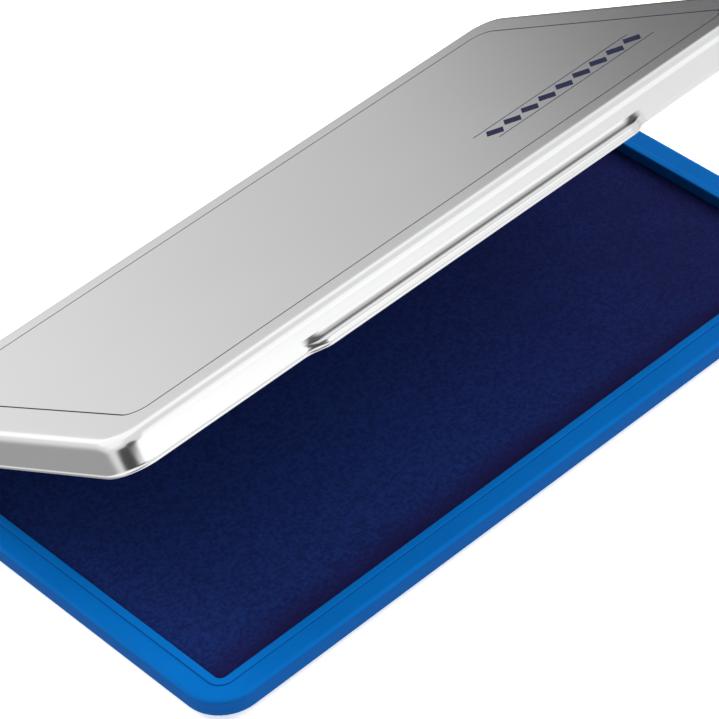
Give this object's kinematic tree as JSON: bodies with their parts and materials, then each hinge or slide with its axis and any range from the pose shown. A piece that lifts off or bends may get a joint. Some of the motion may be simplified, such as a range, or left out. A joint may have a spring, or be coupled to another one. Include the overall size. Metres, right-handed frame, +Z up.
{
  "type": "ink pad",
  "caption": "Hinged desk ink pad for rubber stamps: a moulded tray with a cloth-covered felt pad under a sheet-metal lid with a finger lip.",
  "frame": {"origin": "centre of the tray's underside", "axes": "+X along the length, +Y towards the hinge side, +Z up"},
  "size_m": [0.1738, 0.1074, 0.0638],
  "materials": {
    "tray_plastic": "satin moulded blue plastic",
    "board_plastic": "plain sheet",
    "felt": "pressed felt soaked with blue ink",
    "pad_cloth": "fine woven cloth soaked with blue ink",
    "lid_metal": "satin silver lacquer on tinplate",
    "lid_print": "thin dark blue printed line",
    "hinge_steel": "bright zinc plate",
    "rivet_metal": "plain"
  },
  "bodies": {
    "tray": {"base_tray": "tray_plastic", "retaining_frame": "tray_plastic", "backing_board": "board_plastic", "ink_felt": "felt", "ink_cloth": "pad_cloth", "left_hinge_pin": "hinge_steel", "right_hinge_pin": "hinge_steel"},
    "lid": {"lid_shell": "lid_metal", "left_hinge_leaf": "hinge_steel", "right_hinge_leaf": "hinge_steel", "hinge_rivets": "rivet_metal"}
  },
  "joints": [
    {"name": "lid_hinge", "type": "hinge", "parent": "tray", "child": "lid", "pos_m": [0, 0.0542, 0.00717], "axis": [-1, 0, 0], "range_deg": [-29.5, 85.5]}
  ]
}
